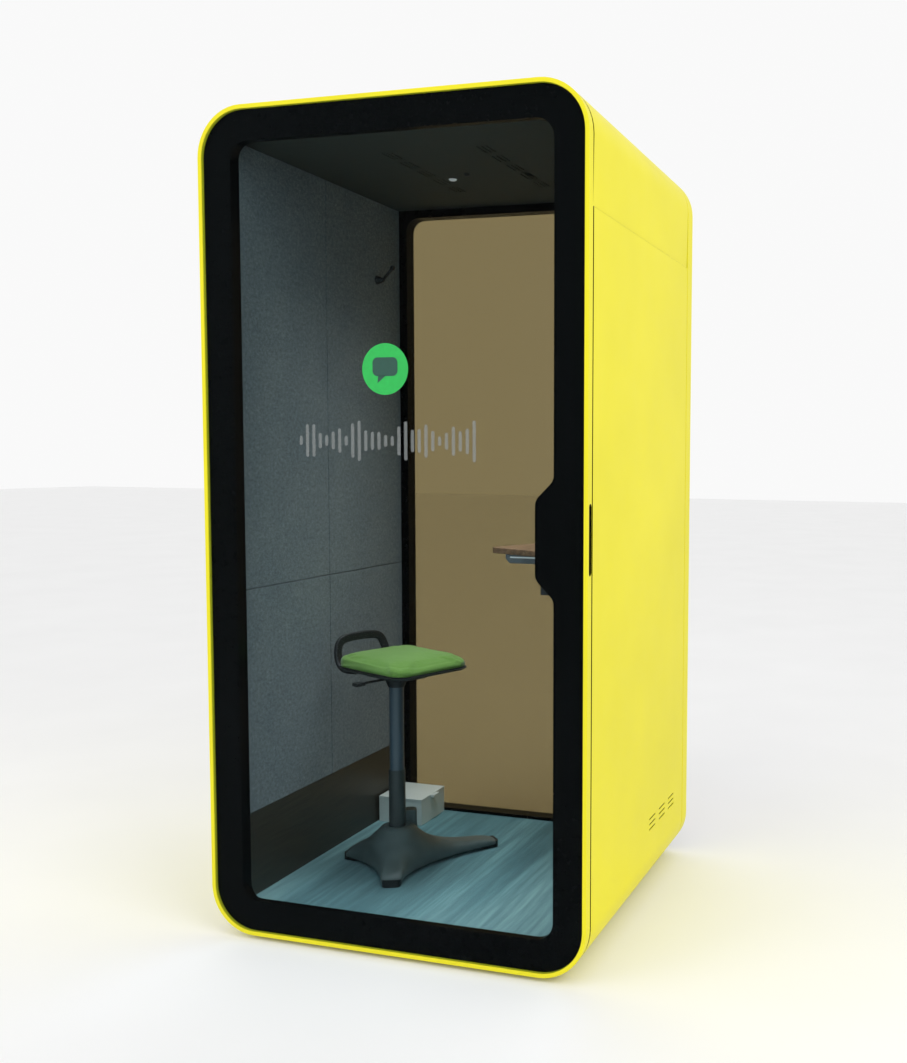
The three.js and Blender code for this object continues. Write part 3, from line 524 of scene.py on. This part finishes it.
def sweep(name, line, section, flat_axis):
    """A section drawn in (across, along the flat axis), carried along a line."""
    rings = []
    for at, point in enumerate(line):
        ahead = line[min(at + 1, len(line) - 1)] - line[max(at - 1, 0)]
        side = ahead.cross(flat_axis(point)).normalized()
        up = side.cross(ahead).normalized()
        rings.append([point + side * across + up * along for across, along in section])
    return skin_over(name, rings)


def finish_nodes(material, width, *nodes, segments=2):
    """Finished copies of several CAD nodes in one material."""
    for node in nodes:
        finish_node(node, material, BODY_OF[node], SLOT_OF[node], width, segments)


def paint_seam_shade(mesh):
    """The front edge faces of a shell, which line the gaps beside its neighbours, get the black material:
    painted shade that makes the seams read dark.
    """
    mesh.materials.append(BLACK_FRAME)
    front = min(vertex.co.y for vertex in mesh.vertices)
    for face in mesh.polygons:
        if face.normal.y < -0.5 and face.center.y < front + 1 * MM:
            face.material_index = 1


for thing in frame["nodes"].values():
    thing.data.materials.clear()
    thing.data.materials.append(BLACK_PLASTIC)

SHELLS = ("roof_shell", "left_side_shell", "right_side_shell", "bottom_tray")
finish_nodes(YELLOW, 0.4 * MM, *SHELLS)
# Each shell's front edge faces are painted black as painted shade in the seams.
for shell in SHELLS:
    paint_seam_shade(bpy.data.objects[shell + "_finish"].data)
finish_nodes(YELLOW, 2.2 * MM, "door_rim", "rear_ring", segments=3)
finish_nodes(BLACK_FRAME, 1.0 * MM, "door_frame", "front_frame", "rear_frame")
finish_nodes(DOOR_GLASS, 0.6 * MM, "door_glass", segments=1)
finish_nodes(REAR_GLASS, 0.6 * MM, "rear_glass", segments=1)
finish_nodes(RUBBER, 1.2 * MM, "door_seal")
finish_nodes(CORE, 1.0 * MM, "left_wall_core", "right_wall_core", "roof_core", segments=1)
finish_nodes(BLACK_PLASTIC, 1.0 * MM, "base_frame", "foot_1", "foot_2", "foot_3", "foot_4")
finish_nodes(BLACK_FRAME, 0.4 * MM, "pull_cup")
finish_nodes(BLACK_PLASTIC, 0.5 * MM, "lock_case", "power_inlet", "motion_sensor")
finish_nodes(BLACK_PLASTIC, 0.4 * MM, "fan_housing_left", "fan_housing_right", "fan_rotor_left",
             "fan_rotor_right", segments=1)
finish_nodes(KICKBOARD, 1.5 * MM, "kickboard_left", "kickboard_right")
finish_nodes(CARPET, 1.5 * MM, "floor_carpet")
finish_nodes(CEILING, 0.8 * MM, "ceiling_panel")
finish_nodes(LAMP, 0.4 * MM, "ceiling_light", "module_light")
finish_nodes(STEEL, 0.3 * MM, "hinge_top_frame_half", "hinge_top_door_half", "hinge_bottom_frame_half",
             "hinge_bottom_door_half", "lock_bolt", segments=1)
finish_nodes(STEEL, 1.0 * MM, "thumb_turn", "inner_pull")
finish_nodes(PALE_PLASTIC, 0.4 * MM, "lock_indicator")
finish_nodes(GREY_PLASTIC, 1.5 * MM, "power_module")
finish_nodes(DARK_STEEL, 0.8 * MM, "desk_bracket")
finish_nodes(BLACK_PLASTIC, 1.0 * MM, "coat_hook", "stool_mechanism", "stool_lever")
finish_nodes(COLUMN_GREY, 1.0 * MM, "stool_column")
finish_nodes(PISTON, 0.8 * MM, "stool_piston")
finish_nodes(WHITE, 1.4 * MM, "floor_box", "floor_box_lid", segments=3)
finish_nodes(WOOD, 2.0 * MM, "desk_top", segments=3)


# ---------------------------------------------------------------- felt walls
def felt_panel(node):
    """One felt panel in two cut sheets, with a fine level joint between them."""
    low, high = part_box(node)
    below = block(node, low, (high.x, high.y, FELT_SEAM_Z - FELT_GROOVE), FELT_EDGE)
    above = block(node, (low.x, low.y, FELT_SEAM_Z + FELT_GROOVE), high, FELT_EDGE)
    piece(node + "_sheets", joined(node, [below, above]), FELT, "root", "wall_felt", node)


for side in ("left", "right"):
    for place in ("front", "rear"):
        felt_panel(f"felt_{side}_{place}")


# ---------------------------------------------------------------- stool
def at_stool(across, along, z, turn):
    """A place given about the stool's axis, turned with the seat or the foot."""
    return Vector((STOOL_X + across * math.cos(turn) - along * math.sin(turn),
                   STOOL_Y + across * math.sin(turn) + along * math.cos(turn), z))


def seat_ring(inset, z, scale=1.0):
    """The seat's outline moved inwards, then drawn towards its middle."""
    radius = max(SEAT_RADIUS - inset, 0.012)
    loop = rounded_loop(SEAT_BACK + inset, SEAT_FRONT - inset, -SEAT_SIDE + inset, SEAT_SIDE - inset, radius)
    middle = (SEAT_BACK + SEAT_FRONT) / 2
    return [at_stool(middle + (u - middle) * scale, v * scale, z, SEAT_TURN) for u, v in loop]


def crowned_pad():
    """The pad before it is filled: thick at the back, with a thin front edge, and crowned in the middle."""
    def rim(points, share):
        """Lift a ring to a share of the edge's height: lower at the front, and lower at the corners."""
        lifted = []
        for point in points:
            offset = point - at_stool(0, 0, 0, SEAT_TURN)
            u = offset.x * math.cos(SEAT_TURN) + offset.y * math.sin(SEAT_TURN)
            v = -offset.x * math.sin(SEAT_TURN) + offset.y * math.cos(SEAT_TURN)
            forward = (u - SEAT_BACK) / (SEAT_FRONT - SEAT_BACK)
            cornered = abs((2 * forward - 1) * v / SEAT_SIDE)
            edge = BACK_EDGE + (FRONT_EDGE - BACK_EDGE) * forward ** 1.5 + EDGE_CROWN * (1 - cornered)
            lifted.append(Vector((point.x, point.y, PAD_LOW + edge * share)))
        return lifted

    top = PAD_TOP - 3 * MM
    rings = [seat_ring(8 * MM, PAD_LOW + 0.5 * MM, scale) for scale in (0.1, 0.4, 0.7, 0.9, 1.0)]
    rings.append(rim(seat_ring(3.5 * MM, 0), 0.15))
    rings.append(rim(seat_ring(2.5 * MM, 0), 0.45))
    rings.append(rim(seat_ring(2.5 * MM, 0), 0.75))
    rings.append(rim(seat_ring(5 * MM, 0), 1.0))
    for scale in (0.97, 0.92, 0.85, 0.75, 0.62, 0.45, 0.25, 0.08):
        ring = rim(seat_ring(5 * MM, 0, scale), 1.0)
        rise = (1 - scale ** 2) ** 0.7
        rings.append([Vector((point.x, point.y, point.z + (top - point.z) * rise)) for point in ring])
    return skin_over("stool_pad", rings)


def filled(mesh, cap, held_below, pressure=4.0):
    """Cloth over a filling: the surface swells evenly, but no point moves by more than the cap."""
    trial = bpy.data.objects.new("filling", mesh)
    collection.objects.link(trial)
    remesh = trial.modifiers.new("remesh", "REMESH")
    remesh.mode = "VOXEL"
    remesh.voxel_size = PAD_GRID
    shaped = evaluated_mesh(trial)
    trial.modifiers.clear()
    trial.data = shaped
    before = [vertex.co.copy() for vertex in shaped.vertices]
    held = trial.vertex_groups.new(name="held")
    held.add([at for at, place in enumerate(before) if place.z < held_below], 1.0, "REPLACE")
    cloth = trial.modifiers.new("cloth", "CLOTH")
    cloth.settings.use_pressure = True
    cloth.settings.uniform_pressure_force = pressure
    cloth.settings.effector_weights.gravity = 0
    cloth.settings.vertex_group_mass = "held"
    for number in range(1, CLOTH_FRAMES + 1):
        bpy.context.scene.frame_set(number)
    swollen = evaluated_mesh(trial)
    trial.modifiers.clear()
    for vertex, start in zip(swollen.vertices, before):
        moved = vertex.co - start
        if moved.length > cap:
            vertex.co = start + moved * (cap / moved.length)
    trial.data = swollen
    bpy.context.scene.frame_set(1)
    trial.vertex_groups.clear()
    softened = trial.modifiers.new("softened", "SUBSURF")
    softened.levels = 1
    softened.render_levels = 1
    finished = evaluated_mesh(trial)
    bpy.data.objects.remove(trial)
    for polygon in finished.polygons:
        polygon.use_smooth = True
    return finished


def evaluated_mesh(thing):
    """The thing's mesh with its modifiers carried out."""
    graph = bpy.context.evaluated_depsgraph_get()
    return bpy.data.meshes.new_from_object(thing.evaluated_get(graph))


def stitch_pad(mesh):
    """Draw the cover in along a stitched line just inside its edge."""
    middle = at_stool((SEAT_BACK + SEAT_FRONT) / 2, 0, 0, SEAT_TURN)
    half_length = (SEAT_FRONT - SEAT_BACK) / 2
    for vertex in mesh.vertices:
        if vertex.co.z < PAD_LOW + 8 * MM:
            continue
        offset = vertex.co - middle
        u = abs(offset.x * math.cos(SEAT_TURN) + offset.y * math.sin(SEAT_TURN)) / half_length
        v = abs(-offset.x * math.sin(SEAT_TURN) + offset.y * math.cos(SEAT_TURN)) / SEAT_SIDE
        reach = (u ** 5 + v ** 5) ** 0.2
        vertex.co.z -= STITCH_DEPTH * math.exp(-((reach - STITCH_PLACE) / STITCH_WIDTH) ** 2)


def stool_seat():
    """The padded cover and the moulding under it."""
    pad = filled(crowned_pad(), PAD_SWELL_CAP, PAD_LOW + 4 * MM)
    stitch_pad(pad)
    cushion = piece("stool_pad_cover", pad, GREEN, "stool_seat", "green_fabric", "stool_pad")
    depth = PAD_LOW - SHELL_LOW
    steps = ((22, 0.0), (14, 0.06), (7, 0.22), (2, 0.5), (-1, 0.8), (-1.5, 0.92), (0, 0.97))
    rings = [seat_ring(22 * MM, SHELL_LOW, 0.3)]
    rings += [seat_ring(inset * MM, SHELL_LOW + depth * rise) for inset, rise in steps]
    rings.append(seat_ring(6 * MM, PAD_LOW - 0.3 * MM, 0.3))
    piece("stool_shell_moulding", skin_over("stool_shell", rings), BLACK_PLASTIC, "stool_seat",
          "black_plastic", "stool_shell")


def stool_handle():
    """The flat bent band behind the seat, held under it on both sides."""
    low = (SHELL_LOW - HANDLE_THICKNESS / 2) / MM
    half = [(-70, 90, low), (-132, 92, low - 1), (-161, 91, 706),
            (-172, 86, 742), (-176, 70, 766), (-177, 32, 774)]
    route = half + [(u, -v, z) for u, v, z in reversed(half)]
    line = spline_points([at_stool(u * MM, v * MM, z * MM, SEAT_TURN) for u, v, z in route], 7)
    thick, wide = HANDLE_THICKNESS / 2, HANDLE_WIDTH / 2
    section = rounded_loop(-thick, thick, -wide, wide, HANDLE_ROUND, 4)
    inside = at_stool(HANDLE_BACK, 0, SHELL_LOW, SEAT_TURN)
    mesh = sweep("stool_handle", line, section, lambda point: point - inside)
    piece("stool_handle_loop", mesh, BLACK_PLASTIC, "stool_seat", "black_plastic", "stool_handle")


def star_outline(steps=14):
    """The foot's plan: three blunt arms with rounded ends and hollow curves between them."""
    points = []
    for number, (degrees, reach) in enumerate(FOOT_ARMS):
        turn = math.radians(degrees)
        next_degrees, next_reach = FOOT_ARMS[(number + 1) % len(FOOT_ARMS)]
        next_turn = turn + math.radians((next_degrees - degrees) % 360)
        for step in range(9):
            angle = math.pi / 2 * (step / 4 - 1)
            points.append(at_stool(reach - TIP_ROUND + TIP_ROUND * math.cos(angle),
                                   TIP_HALF_WIDTH * math.sin(angle), 0, turn))
        start = at_stool(reach - TIP_ROUND, TIP_HALF_WIDTH, 0, turn)
        corner = at_stool(FOOT_BEND, 0, 0, (turn + next_turn) / 2)
        end = at_stool(next_reach - TIP_ROUND, -TIP_HALF_WIDTH, 0, next_turn)
        for step in range(1, steps):
            t = step / steps
            points.append(start * (1 - t) ** 2 + corner * 2 * t * (1 - t) + end * t * t)
    return points


def foot_height(distance):
    """Height of the foot's spine at a distance from the column."""
    for (near, high), (far, low) in zip(SPINE, SPINE[1:]):
        if distance <= far:
            share = max(0.0, (distance - near) / (far - near))
            return high + (low - high) * share
    return SPINE[-1][1]


def stool_foot():
    """The three-armed foot, a bore through its hub and a glide under each arm."""
    outline = star_outline()
    centre = Vector((STOOL_X, STOOL_Y, 0))
    underside = BASE_LOW + 12 * MM
    hub_top = SPINE[0][1]

    def ring(radius, z):
        return [centre + (point - centre).normalized() * radius + Vector((0, 0, z)) for point in outline]

    rings = [ring(FOOT_BORE, underside), ring(FOOT_BORE, hub_top - 1.5 * MM),
             ring(FOOT_BORE + 1.5 * MM, hub_top), ring(FOOT_HUB - 3 * MM, hub_top),
             ring(FOOT_HUB, hub_top - 3 * MM)]
    start = ring(FOOT_HUB, 0)
    shares = (0.04, 0.1, 0.18, 0.27, 0.36, 0.45, 0.54, 0.63, 0.71, 0.78, 0.84, 0.89, 0.93,
              0.96, 0.98, 0.993, 1.0)
    floor = underside + 6 * MM
    for share in shares:
        fall = math.sqrt(max(0.0, 1 - share ** 5))
        level = []
        for begin, end in zip(start, outline):
            place = begin.lerp(end, share)
            spine = min(foot_height((place - centre).length), hub_top - 3 * MM)
            level.append(Vector((place.x, place.y, floor + (spine - floor) * fall)))
        rings.append(level)
    rings.append([Vector((point.x, point.y, underside + 2 * MM)) for point in outline])
    rings.append([centre + (point - centre) * 0.985 + Vector((0, 0, underside)) for point in outline])
    mesh = tube_over("stool_base", rings)
    piece("stool_foot_star", mesh, CHARCOAL, "root", "grey_plastic", "stool_base")
    for number, (degrees, reach) in enumerate(FOOT_ARMS):
        name = f"stool_glide_{number + 1}"
        piece(name, wedge_glide(name, reach, math.radians(degrees)), BLACK_PLASTIC, "root", "black_plastic")


def foot_shoulder():
    """The raised block behind the column."""
    (near, far), (left, right) = SHOULDER_X, SHOULDER_Y
    levels = ((BASE_LOW + 16 * MM, -7), (BASE_LOW + 70 * MM, -4), (BASE_LOW + 110 * MM, 0),
              (BASE_TOP - 8 * MM, 0), (BASE_TOP - 2 * MM, 1.6), (BASE_TOP, 5))
    rings = []
    for z, inset in levels:
        draw_in = inset * MM
        loop = rounded_loop(near + draw_in, far - draw_in, left, right - draw_in, SHOULDER_ROUND, 6)
        rings.append([at_stool(x, y, z, SHOULDER_TURN) for x, y in loop])
    piece("stool_foot_shoulder", skin_over("stool_foot_shoulder", rings), CHARCOAL, "root", "grey_plastic")


def tube_over(name, rings):
    """A closed surface through rings whose last ring meets the first again."""
    shaping = bmesh.new()
    rows = [[shaping.verts.new(point) for point in ring] for ring in rings]
    count = len(rows[0])
    for low, high in zip(rows, rows[1:] + rows[:1]):
        for at in range(count):
            after = (at + 1) % count
            shaping.faces.new((low[at], low[after], high[after], high[at]))
    bmesh.ops.recalc_face_normals(shaping, faces=shaping.faces)
    mesh = bpy.data.meshes.new(name)
    shaping.to_mesh(mesh)
    shaping.free()
    smooth_by_angle(mesh, 45)
    return mesh


def wedge_glide(name, reach, turn):
    """A black wedge under the end of an arm, thick at its nose."""
    back, front = reach - GLIDE_LENGTH, reach + GLIDE_NOSE
    plan = rounded_loop(back, front, -GLIDE_HALF_WIDTH, GLIDE_HALF_WIDTH, GLIDE_ROUND, 5)
    rise = 10 * MM / (front - back)
    rings = [[at_stool(u, v * 0.9, BASE_LOW + 0.2 * MM, turn) for u, v in plan],
             [at_stool(u, v, BASE_LOW + 2 * MM, turn) for u, v in plan],
             [at_stool(u, v, BASE_LOW + 13 * MM + rise * (u - back), turn) for u, v in plan]]
    return skin_over(name, rings)


stool_seat()
stool_handle()
stool_foot()
foot_shoulder()


# ---------------------------------------------------------------- film on the door
def film_shapes(name, loops, back, front):
    """One thin closed sheet for each loop of (x, z) points."""
    return [skin_over(name, [[Vector((x, y, z)) for x, z in loop] for y in (back, front)]) for loop in loops]


def film_sheet(name, loops, material):
    """Thin film shapes on the front of the door glass; each loop is (x, z) points."""
    back = GLASS_FRONT - 0.05 * MM
    sheets = film_shapes(name, loops, back, back - 0.25 * MM)
    piece(name, joined(name, sheets), material, "door", "lamp_white")


def circle(x, z, radius, count=64):
    """Points (x, z) round a circle."""
    angles = [2 * math.pi * at / count for at in range(count)]
    return [(x + radius * math.cos(angle), z + radius * math.sin(angle)) for angle in angles]


def door_badge():
    """A plain green disc with a darker speech bubble on it: a general sign for a phone room."""
    film_sheet("badge_disc", [circle(0, BADGE_Z, BADGE_RADIUS)], BADGE_GREEN)
    bubble = rounded_loop(-BUBBLE_HALF_WIDTH, BUBBLE_HALF_WIDTH, BADGE_Z - BUBBLE_BELOW,
                          BADGE_Z + BUBBLE_ABOVE, BUBBLE_ROUND, 8)
    tail = [(-0.020, BADGE_Z - 0.017), (0.002, BADGE_Z - 0.017), (-0.022, BADGE_Z - 0.036)]
    back = GLASS_FRONT - 0.3 * MM
    sheets = film_shapes("bubble", (bubble, tail), back, back - 0.2 * MM)
    piece("badge_bubble", joined("badge_bubble", sheets), BADGE_DARK, "door", "black_plastic")


def frosted_bars():
    """A row of frosted bars across the glass, so that nobody walks into it."""
    pitch = 2 * BAR_HALF_SPAN / (BAR_COUNT - 1)
    loops = []
    for bar in range(BAR_COUNT):
        x = -BAR_HALF_SPAN + bar * pitch
        wave = abs(math.sin(bar * 0.9) * math.cos(bar * 0.37))
        half_height = BAR_SHORTEST + BAR_GROWTH * wave
        low, high = BARS_Z - half_height, BARS_Z + half_height
        loops.append(rounded_loop(x - BAR_HALF_WIDTH, x + BAR_HALF_WIDTH, low, high, BAR_HALF_WIDTH, 5))
    film_sheet("frosted_bars", loops, FROST)


door_badge()
frosted_bars()


# ---------------------------------------------------------------- stage, lights and camera
def soft_lamp(name, place, target, size, power):
    """A square lamp that faces its target."""
    data = bpy.data.lights.new(name, "AREA")
    data.energy = power
    data.size = size
    lamp = bpy.data.objects.new(name, data)
    collection.objects.link(lamp)
    lamp.location = place
    lamp.rotation_euler = (Vector(target) - Vector(place)).to_track_quat("-Z", "Y").to_euler()
    return lamp


def stage_floor():
    """A plain pale floor under the booth."""
    bpy.ops.mesh.primitive_plane_add(size=60, location=(0, 0, cad_low.z))
    floor = bpy.context.active_object
    floor.name = "studio_floor"
    s = Shader("studio_floor")
    s.principled(Base_Color=s.ramp(s.noise(1.5, 2.0), [(0.3, (0.88, 0.88, 0.88)), (0.7, (0.9, 0.9, 0.9))]),
                 Roughness=0.7)
    floor.data.materials.append(s.material)


def studio_light():
    """An even pale world, a key and a fill lamp, and one lamp inside the cabin."""
    world = bpy.data.worlds.new("studio")
    bpy.context.scene.world = world
    world.use_nodes = True
    background = world.node_tree.nodes["Background"]
    background.inputs["Color"].default_value = (1.0, 1.0, 1.0, 1)
    background.inputs["Strength"].default_value = WORLD_STRENGTH
    soft_lamp("key", *KEY_LAMP)
    fill = soft_lamp("fill", *FILL_LAMP)
    fill.visible_glossy = False  # keeps its mirror image out of the door
    downlight = soft_lamp("cabin", *CABIN_LAMP)
    downlight.data.spread = CABIN_SPREAD
    bpy.context.scene.view_settings.view_transform = "Standard"


def photo_camera():
    """The photograph's viewpoint: standing eye height, in front of the right half of the booth."""
    data = bpy.data.cameras.new("camera")
    camera = bpy.data.objects.new("camera", data)
    collection.objects.link(camera)
    yaw, pitch, roll = (math.radians(angle) for angle in CAMERA_TURN)
    camera.location = (CAMERA_SIDE, cad_low.y - CAMERA_DISTANCE, CAMERA_HEIGHT)
    camera.rotation_euler = (Matrix.Rotation(yaw, 3, "Z") @ Matrix.Rotation(math.pi / 2 + pitch, 3, "X")
                             @ Matrix.Rotation(-roll, 3, "Z")).to_euler()
    data.sensor_width = 36
    data.lens = CAMERA_LENS
    data.shift_x = CAMERA_SHIFT
    bpy.context.scene.camera = camera


stage_floor()
studio_light()
photo_camera()
